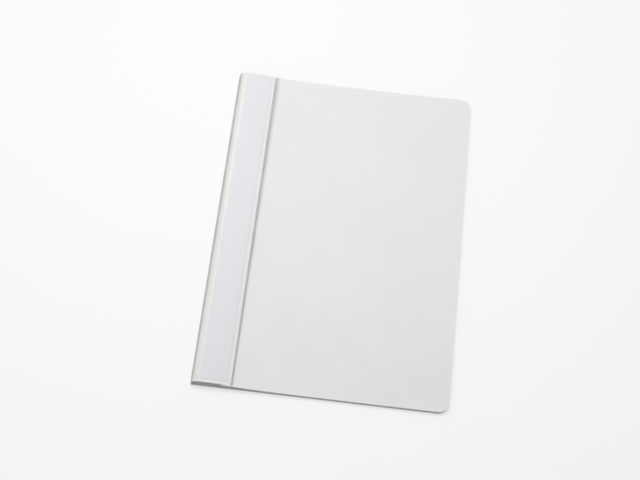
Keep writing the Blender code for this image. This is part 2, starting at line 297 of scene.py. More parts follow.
@dataclass(frozen=True)
class Outline:
    """The flat shape of a sheet seen from above, with round corners at either side."""

    left: float
    right: float
    half: float
    left_radius: float = 0.0
    right_radius: float = 0.0

    def half_at(self, x: float) -> float:
        """Half of the sheet's length at a place across it.

        Args:
            x: The place across the sheet.

        Returns:
            The half length, less in the round corners.
        """
        short = 0.0
        depths = (self.left + self.left_radius - x, x - self.right + self.right_radius)
        for radius, depth in zip((self.left_radius, self.right_radius), depths):
            if depth > 0 and radius > 0:
                short = max(short, radius - math.sqrt(max(0.0, radius**2 - depth**2)))
        return self.half - short

    def along(self, x: float, y: float) -> float:
        """Moves a row near the sheet's ends in, so that it follows the round corners.

        Args:
            x: The place across the sheet.
            y: The row's place along it.

        Returns:
            The row's new place along the sheet.
        """
        settled = self.half - 2 * max(self.left_radius, self.right_radius)
        beyond = abs(y) - settled
        if beyond <= 0 or settled >= self.half:
            return y
        return math.copysign(settled + beyond * (self.half_at(x) - settled) / (self.half - settled), y)

    def corner_stations(self, count: int) -> list[float]:
        """Places across the sheet at equal turns round the right corners."""
        start = self.right - self.right_radius
        return [start + self.right_radius * math.sin(math.radians(a)) for a in even(0, 90, count)]


@dataclass
class Sheet:
    """A bent sheet with rounded edges, grown inwards from a grid of points on its outer face.

    Rows of the grid in joined run on into another sheet, so they end flat and don't wear, and inner_share is how
    much of the marks shows on the rim and the inner face.
    """

    name: str
    grid: Grid
    thickness: float
    edge: float = 0.00012
    rim_steps: int = 3
    wear_reach: float = 0.0018
    inner_share: float = 1.0
    joined: frozenset[int] = frozenset()
    holes: frozenset[Cell] = frozenset()
    marks: dict[str, Mark] = field(default_factory=dict)

    def normal(self, i: int, j: int) -> Vector:
        """The outer face's direction at a grid point.

        Args:
            i: The point's row.
            j: The point's place in its row.

        Returns:
            The direction, of length 1.
        """
        last_i, last_j = len(self.grid) - 1, len(self.grid[0]) - 1
        across = self.grid[min(i + 1, last_i)][j] - self.grid[max(i - 1, 0)][j]
        along = self.grid[i][min(j + 1, last_j)] - self.grid[i][max(j - 1, 0)]
        return across.cross(along).normalized()

    def build(self) -> Piece:
        """Makes the closed mesh.

        Returns:
            The piece, linked to the scene.
        """
        bm = bmesh.new()
        layers = {name: bm.verts.layers.float.new(name) for name in ("rim", *self.marks)}
        outer: dict[Cell, Vert] = {}
        inner: dict[Vert, Vert] = {}
        facing: dict[Vert, Vector] = {}
        cells = [(i, j) for i in range(len(self.grid) - 1) for j in range(len(self.grid[0]) - 1)]
        cells = [cell for cell in cells if cell not in self.holes]
        for i, j in sorted({(i + a, j + b) for i, j in cells for a in (0, 1) for b in (0, 1)}):
            normal = self.normal(i, j)
            vert = bm.verts.new(self.grid[i][j])
            below = bm.verts.new(self.grid[i][j] - normal * self.thickness)
            outer[i, j], inner[vert], facing[vert] = vert, below, normal
            for name, mark in self.marks.items():
                vert[layers[name]] = mark(i, j)
                below[layers[name]] = self.inner_share * mark(i, j)
        for i, j in cells:
            bm.faces.new([outer[i, j], outer[i + 1, j], outer[i + 1, j + 1], outer[i, j + 1]])
        kept = {vert for (i, j), vert in outer.items() if i in self.joined}
        self.close(bm, layers, inner, facing, kept)
        mesh = bpy.data.meshes.new(self.name)
        bm.to_mesh(mesh)
        bm.free()
        mesh.shade_smooth()
        obj = bpy.data.objects.new(self.name, mesh)
        bpy.context.scene.collection.objects.link(obj)
        return obj

    def close(
        self,
        bm: bmesh.types.BMesh,
        layers: dict[str, bmesh.types.BMLayerItem],
        inner: dict[Vert, Vert],
        facing: dict[Vert, Vector],
        kept: set[Vert],
    ) -> None:
        """Adds the inner face and the rounded rim, and marks how near each point is to an edge.

        Args:
            bm: The mesh, with its outer face made.
            layers: The point layers by name.
            inner: The inner point under each outer one.
            facing: The outer face's direction at each outer point.
            kept: Border points that meet another sheet.
        """
        bm.normal_update()
        tops = bm.faces[:]
        border = [edge for edge in bm.edges if edge.is_boundary]
        outward: dict[Vert, Vector] = {}
        for edge in border:
            face = edge.link_faces[0]
            a, b = edge.verts
            away = (b.co - a.co).cross(face.normal).normalized()
            middle = (a.co + b.co) / 2
            away *= math.copysign(1, away.dot(middle - face.calc_center_median()))
            for vert in edge.verts:
                outward[vert] = outward.get(vert, Vector()) + away
        rims: dict[Vert, list[Vert]] = {}
        turns = [math.radians(turn) for turn in even(90, -90, self.rim_steps + 1)[1:-1]]
        for vert, away in outward.items():
            middle = (vert.co + inner[vert].co) / 2
            reach = away.normalized() * (0.0 if vert in kept else self.edge)
            rise = facing[vert] * self.thickness / 2
            ring = [bm.verts.new(middle + rise * math.sin(t) + reach * math.cos(t)) for t in turns]
            rims[vert] = [vert, *ring, inner[vert]]
            for new in ring:
                for name in self.marks:
                    new[layers[name]] = inner[vert][layers[name]]
        for edge in border:
            edge.smooth = not kept.issuperset(edge.verts)
            loop = edge.link_loops[0]
            a, b = loop.vert, loop.link_loop_next.vert
            for k in range(self.rim_steps + 1):
                bm.faces.new([rims[b][k], rims[a][k], rims[a][k + 1], rims[b][k + 1]])
        for face in tops:
            bm.faces.new([inner[vert] for vert in reversed(face.verts)])
        wear_and_highlight = [vert for vert in outward if vert not in kept]
        tree = KDTree(len(wear_and_highlight))
        for index, vert in enumerate(wear_and_highlight):
            tree.insert(vert.co, index)
        tree.balance()
        for vert in bm.verts:
            vert[layers["rim"]] = max(0.0, 1 - tree.find(vert.co)[2] / self.wear_reach)


class Graph:
    """A shader node tree, with short ways to add and join nodes."""

    def __init__(self, tree: Tree) -> None:
        """Starts on a tree."""
        self.tree = tree

    def add(self, kind: str, **inputs: object) -> Node:
        """Adds a node.

        Args:
            kind: The node's type name, without its ShaderNode prefix.
            **inputs: Values or sockets for inputs, named in lower case with _ for a space.

        Returns:
            The new node.
        """
        prefix = "" if kind.startswith("NodeGroup") else "ShaderNode"
        node = self.tree.nodes.new(prefix + kind)
        self.feed(node, **inputs)
        return node

    def feed(self, node: Node, **inputs: object) -> None:
        """Sets a node's inputs to values, or links sockets to them.

        Args:
            node: The node.
            **inputs: Values or sockets, named as for add.
        """
        for name, value in inputs.items():
            wanted = name.replace("_", " ").lower()
            socket = next(s for s in node.inputs if s.name.lower() == wanted)
            self.join(socket, value)

    def join(self, socket: Socket, value: object) -> None:
        """Sets one input to a value, or links a socket to it.

        Args:
            socket: The input.
            value: A value or another node's output.
        """
        if isinstance(value, Socket):
            self.tree.links.new(value, socket)
        else:
            socket.default_value = value

    def math(self, operation: str, *values: object) -> Socket:
        """A sum on numbers, kept between 0 and 1.

        Args:
            operation: The Math node's operation.
            *values: Values or sockets for it.

        Returns:
            The result.
        """
        node = self.add("Math")
        node.operation = operation
        node.use_clamp = True
        for socket, value in zip(node.inputs, values):
            self.join(socket, value)
        return node.outputs[0]

    def span(self, value: object, low: float, high: float, to_low: float = 0.0, to_high: float = 1.0) -> Socket:
        """Carries a value from one range to another, without going past its ends.

        Args:
            value: The value or socket.
            low: Start of its range.
            high: End of its range.
            to_low: Start of the new range.
            to_high: End of the new range.

        Returns:
            The value in the new range.
        """
        node = self.add("MapRange")
        for socket, item in zip(node.inputs, (value, low, high, to_low, to_high)):
            self.join(socket, item)
        return node.outputs[0]

    def tint(self, share: object, first: object, second: object) -> Socket:
        """Goes from one colour to another by a share.

        Args:
            share: How much of the second colour there is.
            first: A colour or socket.
            second: A colour or socket.

        Returns:
            The mixed colour.
        """
        node = self.add("Mix")
        node.data_type = "RGBA"
        colours = [c if isinstance(c, Socket) else (*c, 1.0) for c in (first, second)]
        for index, item in zip(MIX_COLOUR_INPUTS, (share, *colours)):
            self.join(node.inputs[index], item)
        return node.outputs[MIX_COLOUR_OUTPUT]

    def noise(self, vector: object, scale: object, detail: float) -> Socket:
        """Soft noise at a number of waves a metre."""
        return self.add("TexNoise", vector=vector, scale=scale, detail=detail).outputs[0]

    def bump(self, height: object, distance: float, normal: Socket | None = None) -> Socket:
        """Turns a height into a surface direction.

        Args:
            height: The height, from 0 to 1.
            distance: How high 1 is.
            normal: Another surface direction, to go over.

        Returns:
            The surface direction.
        """
        node = self.add("Bump", height=height, distance=distance, strength=1.0)
        if normal is not None:
            self.join(node.inputs["Normal"], normal)
        return node.outputs[0]


class SharedEffects:
    """The node groups that several finishes share, each built once.

    Each span gives the range of the noise that an effect uses, and of what it makes of it where that isn't 0 to 1.
    """

    fine_detail: float = 3.0
    plain_detail: float = 2.0
    smudge_detail: float = 4.0
    smudge_warp: float = 0.8
    haze_span: tuple[float, ...] = (0.3, 0.7)
    streak_span: tuple[float, ...] = (0.52, 0.72)
    smudge_span: tuple[float, ...] = (0.35, 0.68)
    wear_span: tuple[float, ...] = (0.35, 0.7, 0.6, 1.0)
    crease_span: tuple[float, ...] = (0.2, 0.6, 0.7, 1.0)

    def __init__(self) -> None:
        """Builds every group."""
        self.groups = {
            Effect.GRAIN: self.grain(),
            Effect.LINES: self.lines(),
            Effect.HANDLING: self.handling(),
            Effect.EDGE_WEAR: self.edge_wear(),
            Effect.CREASE: self.crease(),
        }

    def use(self, graph: Graph, effect: Effect, **values: object) -> Node:
        """Places a shared effect in a material.

        Args:
            graph: The material's graph.
            effect: Which effect.
            **values: The effect's inputs for this material.

        Returns:
            The group node.
        """
        node = graph.add("Group")
        node.node_tree = self.groups[effect]
        graph.feed(node, **values)
        return node

    @staticmethod
    def start(effect: Effect, inputs: dict[str, float], outputs: Sequence[str]) -> tuple[Graph, Node, Node]:
        """Begins a group with named sockets.

        Args:
            effect: The effect that the group is for.
            inputs: Input names with their usual values.
            outputs: Output names.

        Returns:
            The group's graph, its input node and its output node.
        """
        tree = bpy.data.node_groups.new(effect.value, "ShaderNodeTree")
        for name, usual in inputs.items():
            socket = tree.interface.new_socket(name, in_out="INPUT", socket_type="NodeSocketFloat")
            socket.default_value = usual
        for name in outputs:
            tree.interface.new_socket(name, in_out="OUTPUT", socket_type="NodeSocketFloat")
        graph = Graph(tree)
        return graph, graph.add("NodeGroupInput"), graph.add("NodeGroupOutput")

    @staticmethod
    def where(graph: Graph) -> Socket:
        """The place on the piece, which all effects go by."""
        return graph.add("TexCoord").outputs["Object"]

    def grain(self) -> Tree:
        """Fine matt grain and a broad, faint cloudiness.

        Returns:
            The group.
        """
        graph, given, made = self.start(Effect.GRAIN, {"Grain": 2500.0, "Cloud": 14.0}, ("Height", "Haze"))
        where = self.where(graph)
        height = graph.noise(where, given.outputs["Grain"], self.fine_detail)
        haze = graph.noise(where, given.outputs["Cloud"], self.fine_detail)
        graph.feed(made, height=height, haze=graph.span(haze, *self.haze_span))
        return graph.tree

    def lines(self) -> Tree:
        """Lines that run along the folder, as drawn film and rolled metal show.

        Returns:
            The group.
        """
        graph, given, made = self.start(Effect.LINES, {"Fineness": 900.0, "Length": 6.0}, ("Height", "Streaks"))
        across, along = given.outputs["Fineness"], given.outputs["Length"]
        stretch = graph.add("CombineXYZ", x=across, y=along, z=across)
        scaled = graph.add("VectorMath")
        scaled.operation = "MULTIPLY"
        graph.join(scaled.inputs[0], self.where(graph))
        graph.join(scaled.inputs[1], stretch.outputs[0])
        drawn = graph.noise(scaled.outputs[0], 1.0, self.plain_detail)
        graph.feed(made, height=drawn, streaks=graph.span(drawn, *self.streak_span))
        return graph.tree

    def handling(self) -> Tree:
        """Soft smudges where hands have polished or dulled a surface.

        Returns:
            The group.
        """
        graph, given, made = self.start(Effect.HANDLING, {"Size": 30.0}, ("Smudge",))
        smudge = graph.add("TexNoise", vector=self.where(graph), scale=given.outputs["Size"])
        graph.feed(smudge, detail=self.smudge_detail, distortion=self.smudge_warp)
        graph.feed(made, smudge=graph.span(smudge.outputs[0], *self.smudge_span))
        return graph.tree

    def edge_wear(self) -> Tree:
        """Broken wear along the edges of a sheet; on the films it also stands partly for a painted highlight along
        their rims.

        Returns:
            The group.
        """
        graph, given, made = self.start(Effect.EDGE_WEAR, {"Breaks": 180.0, "Amount": 0.6}, ("Wear",))
        breaks = graph.noise(self.where(graph), given.outputs["Breaks"], self.fine_detail)
        wear_and_highlight = self.marked(graph, "rim", graph.span(breaks, *self.wear_span))
        graph.feed(made, wear=graph.math("MULTIPLY", wear_and_highlight, given.outputs["Amount"]))
        return graph.tree

    def crease(self) -> Tree:
        """A mask along folds and welds, uneven along its length: painted shade on the folds and in the groove, the
        tone of the welds.

        Returns:
            The group.
        """
        graph, given, made = self.start(Effect.CREASE, {"Breaks": 60.0, "Amount": 0.7}, ("Strain",))
        breaks = graph.noise(self.where(graph), given.outputs["Breaks"], self.plain_detail)
        strain = self.marked(graph, "fold", graph.span(breaks, *self.crease_span))
        graph.feed(made, strain=graph.math("MULTIPLY", strain, given.outputs["Amount"]))
        return graph.tree

    @staticmethod
    def marked(graph: Graph, layer: str, share: Socket) -> Socket:
        """A share of a mark on the mesh.

        Args:
            graph: The group's graph.
            layer: The mark's name.
            share: How much of it shows.

        Returns:
            The mark times the share.
        """
        mark = graph.add("Attribute")
        mark.attribute_name = layer
        return graph.math("MULTIPLY", mark.outputs["Fac"], share)


def new_material(name: str) -> tuple[Material, Graph, Node]:
    """Starts a material.

    Args:
        name: The material's name.

    Returns:
        The material, its graph and its Principled node.
    """
    material = bpy.data.materials.new(name)
    material.use_nodes = True
    return material, Graph(material.node_tree), material.node_tree.nodes["Principled BSDF"]


@dataclass(frozen=True)
class FilmFinish:
    """Opaque plastic film: clouded colour, fine grain, drawn lines, painted shade along folds with darker welds, and
    paler edges that are partly wear and partly a painted highlight.
    """

    name: str
    pale: Colour
    deep: Colour
    # Colour of the painted shade along folds and in the groove, and of darker welds
    shade_and_weld_colour: Colour
    # Paler colour of the rims: partly wear, partly a painted highlight
    wear_and_highlight: Colour
    smooth: float = 0.56
    dull: float = 0.66
    grain: float = 2600.0
    grain_depth: float = 0.00002
    fineness: float = 420.0
    line_depth: float = 0.00006
    fold_share: float = 0.7

    def material(self, effects: SharedEffects) -> Material:
        """Builds the film's material.

        Args:
            effects: The shared effects.

        Returns:
            The material.
        """
        material, graph, shader = new_material(self.name)
        grain = effects.use(graph, Effect.GRAIN, grain=self.grain)
        lines = effects.use(graph, Effect.LINES, fineness=self.fineness)
        smudge = effects.use(graph, Effect.HANDLING).outputs["Smudge"]
        strain = effects.use(graph, Effect.CREASE, amount=self.fold_share).outputs["Strain"]
        wear = effects.use(graph, Effect.EDGE_WEAR).outputs["Wear"]
        colour = graph.tint(grain.outputs["Haze"], self.deep, self.pale)
        # Painted shade along folds and in the groove, and darker welds
        colour = graph.tint(strain, colour, self.shade_and_weld_colour)
        colour = graph.tint(wear, colour, self.wear_and_highlight)
        drawn = graph.bump(lines.outputs["Height"], self.line_depth)
        graph.feed(
            shader,
            base_color=colour,
            roughness=graph.span(smudge, 0, 1, self.smooth, self.dull),
            normal=graph.bump(grain.outputs["Height"], self.grain_depth, drawn),
        )
        return material


@dataclass(frozen=True)
class ClearFinish:
    """Clear film: see-through with a smooth shine, whitened where it is welded down."""

    name: str
    body: Colour
    weld: Colour
    open_alpha: float = 0.08
    weld_alpha: float = 0.10
    smooth: float = 0.40
    dull: float = 0.52
    smudge_size: float = 45.0
    fineness: float = 500.0
    line_length: float = 5.0
    line_depth: float = 0.00009
    weld_share: float = 1.0
    wear_share: float = 0.8

    def material(self, effects: SharedEffects) -> Material:
        """Builds the clear film's material.

        Args:
            effects: The shared effects.

        Returns:
            The material.
        """
        material, graph, shader = new_material(self.name)
        lines = effects.use(graph, Effect.LINES, fineness=self.fineness, length=self.line_length)
        smudge = effects.use(graph, Effect.HANDLING, size=self.smudge_size).outputs["Smudge"]
        strain = effects.use(graph, Effect.CREASE, amount=self.weld_share).outputs["Strain"]
        wear = effects.use(graph, Effect.EDGE_WEAR, amount=self.wear_share).outputs["Wear"]
        white = graph.math("MAXIMUM", strain, wear)
        graph.feed(
            shader,
            base_color=graph.tint(white, self.body, self.weld),
            roughness=graph.span(smudge, 0, 1, self.smooth, self.dull),
            alpha=graph.span(white, 0, 1, self.open_alpha, self.weld_alpha),
            normal=graph.bump(lines.outputs["Height"], self.line_depth),
        )
        return material


@dataclass(frozen=True)
class PaperFinish:
    """Uncoated paper: matt, with fibres and faint mottling."""

    name: str
    pale: Colour
    deep: Colour
    fibre: Colour
    roughness: float = 0.85
    grain: float = 1800.0
    cloud: float = 22.0
    fineness: float = 2600.0
    fibre_length: float = 420.0
    fibre_share: float = 0.35
    fibre_depth: float = 0.00003
    wear_share: float = 0.4

    def material(self, effects: SharedEffects) -> Material:
        """Builds the paper's material.

        Args:
            effects: The shared effects.

        Returns:
            The material.
        """
        material, graph, shader = new_material(self.name)
        grain = effects.use(graph, Effect.GRAIN, grain=self.grain, cloud=self.cloud)
        fibres = effects.use(graph, Effect.LINES, fineness=self.fineness, length=self.fibre_length)
        wear = effects.use(graph, Effect.EDGE_WEAR, amount=self.wear_share).outputs["Wear"]
        colour = graph.tint(grain.outputs["Haze"], self.deep, self.pale)
        share = graph.math("MULTIPLY", fibres.outputs["Streaks"], self.fibre_share)
        colour = graph.tint(share, colour, self.fibre)
        graph.feed(
            shader,
            base_color=graph.tint(wear, colour, self.fibre),
            roughness=self.roughness,
            normal=graph.bump(grain.outputs["Height"], self.fibre_depth),
        )
        return material


@dataclass(frozen=True)
class TinFinish:
    """Tinned steel: rolled lines, dull spangle, handling marks and bright rubbed edges."""

    name: str
    pale: Colour
    deep: Colour
    bright: Colour
    smooth: float = 0.24
    dull: float = 0.42
    smudge_size: float = 120.0
    grain: float = 900.0
    spangle: float = 160.0
    fineness: float = 3500.0
    line_length: float = 60.0
    line_depth: float = 0.00002
    wear_breaks: float = 400.0
    wear_share: float = 0.8

    def material(self, effects: SharedEffects) -> Material:
        """Builds the metal's material.

        Args:
            effects: The shared effects.

        Returns:
            The material.
        """
        material, graph, shader = new_material(self.name)
        grain = effects.use(graph, Effect.GRAIN, grain=self.grain, cloud=self.spangle)
        lines = effects.use(graph, Effect.LINES, fineness=self.fineness, length=self.line_length)
        smudge = effects.use(graph, Effect.HANDLING, size=self.smudge_size).outputs["Smudge"]
        wear = effects.use(graph, Effect.EDGE_WEAR, breaks=self.wear_breaks, amount=self.wear_share).outputs["Wear"]
        colour = graph.tint(grain.outputs["Haze"], self.deep, self.pale)
        graph.feed(
            shader,
            base_color=graph.tint(wear, colour, self.bright),
            roughness=graph.span(smudge, 0, 1, self.smooth, self.dull),
            metallic=1.0,
            normal=graph.bump(lines.outputs["Height"], self.line_depth),
        )
        return material


Finish = FilmFinish | ClearFinish | PaperFinish | TinFinish

SHEET_FILM = FilmFinish(
    "ivory_sheet_film",
    pale=(0.795, 0.789, 0.77),
    deep=(0.775, 0.769, 0.75),
    # Painted shade on the spine and the strip's slope, and the tone of the seam band, the pressed ends and the
    # flap's welds
    shade_and_weld_colour=(0.36, 0.354, 0.34),
    # Paler rims: partly wear, partly a painted highlight along the strip's edge
    wear_and_highlight=(0.81, 0.81, 0.80),
)
COVER_FILM = FilmFinish(
    "grey_cover_film",
    pale=(0.79, 0.78, 0.783),
    deep=(0.775, 0.765, 0.767),
    # Painted shade for the hinge groove
    shade_and_weld_colour=(0.34, 0.335, 0.335),
    wear_and_highlight=(0.83, 0.83, 0.83),
)
CLEAR_FILM = ClearFinish("clear_pocket_film", body=(0.86, 0.86, 0.87), weld=(0.88, 0.88, 0.87))
LABEL_PAPER = PaperFinish(
    "label_paper", pale=(0.724, 0.717, 0.748), deep=(0.709, 0.702, 0.733), fibre=(0.745, 0.74, 0.765)
)
TINPLATE = TinFinish(
    "rolled_tinplate", pale=(0.66, 0.66, 0.64), deep=(0.54, 0.54, 0.53), bright=(0.80, 0.80, 0.79)
)


class Looks:
    """The materials of all finishes, each built once."""

    def __init__(self) -> None:
        """Starts with the shared effects and no material."""
        self.effects = SharedEffects()
        self.made: dict[str, Material] = {}

    def of(self, finish: Finish) -> Material:
        """The material of a finish, built when it is first asked for.

        Args:
            finish: The finish.

        Returns:
            Its material.
        """
        if finish.name not in self.made:
            self.made[finish.name] = finish.material(self.effects)
        return self.made[finish.name]


@dataclass
class Assembly:
    """A sub-assembly of the folder: its pieces, and how they are dressed and carried."""

    pieces: list[Piece] = field(default_factory=list, init=False)

    def build(self) -> None:
        """Makes the pieces' meshes."""
        raise NotImplementedError

    def dress(self, looks: Looks) -> None:
        """Gives the pieces their finishes and bodies."""
        raise NotImplementedError

    def carry(self, piece: Piece, body: Body, slot: Slot, *nodes: str) -> None:
        """Fixes a piece to a body in place of plain nodes.

        Args:
            piece: The piece.
            body: The body that it moves with.
            slot: The finish that the record names for it. It is not used.
            *nodes: The nodes that it stands for.
        """
        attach(piece, body.value)
        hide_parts(*nodes)

    def hinge(self, piece: Piece, fixed: Body, turning: Body, start: Vector, end: Vector) -> None:
        """Bakes a sheet's place into its mesh.

        Args:
            piece: The sheet.
            fixed: The body on the near side of the fold. It is not used.
            turning: The body on the far side. It is not used.
            start: Where the bend starts. It is not used.
            end: Where it ends. It is not used.
        """
        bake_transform(piece)


def cover_outline() -> Outline:
    """The outline of both covers, within their rounded rims.

    Returns:
        The outline, with round corners at the fore-edge.
    """
    inset = Sheet.edge
    right, half = SIZES.width - inset, SIZES.half_length - inset
    return Outline(0.0, right, half, right_radius=SIZES.corner_radius - inset)


def near_foot(y: float, run: float) -> float:
    """How near a row is to the folder's foot, from 1 there to 0 at a distance run from it."""
    return max(0.0, 1 - (SIZES.half_length + y) / run)


@dataclass
class BackSheet(Assembly):
    """The film that makes the back cover, turns up as the spine and turns over as the front strip."""

    corner_steps: int = 12
    fold_steps: int = 9
    wall_steps: int = 6
    # How far the painted shade of the spine reaches and widens towards the head, and how much painted shade the
    # strip's slope beside the front fold gets
    fold_reach: float = 0.0030
    fold_fade: float = 0.0010
    fold_gain: float = 0.0009
    fold_run: float = 0.150
    slope_shade_reach: float = 0.0070
    slope_shade_share: float = 0.24
    end_reach: float = 0.0042
    end_fade: float = 0.0006
    end_share: float = 0.15
    seam_reach: float = 0.0034
    seam_edge: float = 0.0006
    seam_share: float = 0.20
    seam_lap: float = 0.0004
    inner_share: float = 0.1
    foot_set: float = 0.0006
    foot_run: float = 0.020
    row_step: float = 0.006
    column_step: float = 0.006
    strip_step: float = 0.0015

    def lower_fold(self, steps: int) -> Section:
        """The film's outer face round the fold from the back cover to the spine."""
        return arc(SIZES.back_fold, SIZES.fold_radius, 270, SIZES.spine_facing, steps)

    def upper_fold(self, steps: int) -> Section:
        """The film's outer face round the fold from the spine to the strip."""
        return arc(SIZES.front_fold, SIZES.fold_radius, SIZES.spine_facing, SIZES.strip_facing, steps)

    def build(self) -> None:
        """Makes the sheet in two runs that meet half-way up the spine."""
        outline = cover_outline()
        corner = outline.corner_stations(self.corner_steps)
        flat = stations(SIZES.fold_radius, corner[0], self.column_step)[:-1] + corner
        lower, upper = self.lower_fold(self.fold_steps), self.upper_fold(self.fold_steps)
        low, high = Vector(lower[-1]), Vector(upper[0])
        wall = [tuple(low.lerp(high, share)) for share in even(0, 1, self.wall_steps)]
        middle = len(wall) // 2

        run = [(x, 0.0) for x in reversed(flat)] + lower[1:] + wall[1 : middle + 1]
        self.pieces.append(self.sheet("back_sheet", run, outline, len(run) - 1, 0.0))

        end = SIZES.strip_width + self.seam_lap - Sheet.edge
        rest = [(x, SIZES.strip_top(x)) for x in stations(SIZES.strip_start, end, self.strip_step)]
        run = wall[middle:-1] + upper + rest[1:]
        self.pieces.append(self.sheet("strip_sheet", run, outline, 0, self.end_share))

    def fold_mark(self, x: float, y: float) -> float:
        """How dark the film is painted: painted shade most on the spine, less past its folds, and a darker band at
        the seam.

        Args:
            x: Distance from the spine.
            y: Place along the folder. The painted shade of the spine reaches least far at the foot.

        Returns:
            How dark the film is painted, from 0 to 1.
        """
        # Painted shade on the spine, which leans away from the light, and on the strip's slope beside the front fold
        share = unit((SIZES.half_length + y) / self.fold_run)
        folded = unit((self.fold_reach + self.fold_gain * share - x) / self.fold_fade)
        slope_shade = unit((self.slope_shade_reach - x) / (self.slope_shade_reach - self.fold_reach))
        from_edge = SIZES.strip_width - x
        seamed = self.seam_share if self.seam_edge < from_edge < self.seam_reach else 0.0
        return max(folded, self.slope_shade_share * slope_shade * share, seamed)

    def end_mark(self, inside: float) -> float:
        """How pressed the film is beside its head and foot, from 0 to 1."""
        return unit((self.end_reach - inside) / self.end_fade)

    def set_back(self, y: float, z: float) -> float:
        """How far the film's foot is set back from the back cover's, from the middle of the spine upwards.

        Args:
            y: Place along the folder.
            z: Height.

        Returns:
            The distance that a point moves towards the head.
        """
        low, high = SIZES.back_fold[1], SIZES.front_fold[1]
        share = unit((2 * z - low - high) / (high - low))
        return self.foot_set * share * near_foot(y, self.foot_run)

    def sheet(self, name: str, run: Section, outline: Outline, joined: int, pressed: float) -> Piece:
        """Makes one run of the film.

        Args:
            name: The piece's name.
            run: Its cross-section.
            outline: Its shape seen from above.
            joined: Which point of the cross-section meets the other run.
            pressed: How much darker its pressed ends are.

        Returns:
            The piece.
        """
        ys = stations(-outline.half, outline.half, self.row_step)
        grid = [[place(x, outline.along(x, y) + self.set_back(y, z), z) for y in ys] for x, z in run]
        folds = [[self.fold_mark(x, y) for y in ys] for x, _ in run]
        ends = [pressed * self.end_mark(outline.half - abs(y)) for y in ys]
        sheet = Sheet(name, grid, SIZES.sheet_film, inner_share=self.inner_share, joined=frozenset({joined}))
        # The fold mark carries the painted shade of the spine and the strip's slope, the band at the seam and the
        # pressed ends
        sheet.marks["fold"] = lambda i, j: max(folds[i][j], ends[j])
        return sheet.build()

    def dress(self, looks: Looks) -> None:
        """Dresses both runs in the ivory film and bakes their places into their meshes.

        Args:
            looks: The materials.
        """
        back, strip = self.pieces
        finish = looks.of(SHEET_FILM)
        for piece in self.pieces:
            piece.data.materials.append(finish)
        self.hinge(back, Body.BACK, Body.SPINE, *[place(x, 0, z) for x, z in self.lower_fold(1)])
        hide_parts("back_cover", "back_crease")
        self.hinge(strip, Body.SPINE, Body.STRIP, *[place(x, 0, z) for x, z in self.upper_fold(1)])
        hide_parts("spine_panel", "front_crease", "label_strip")


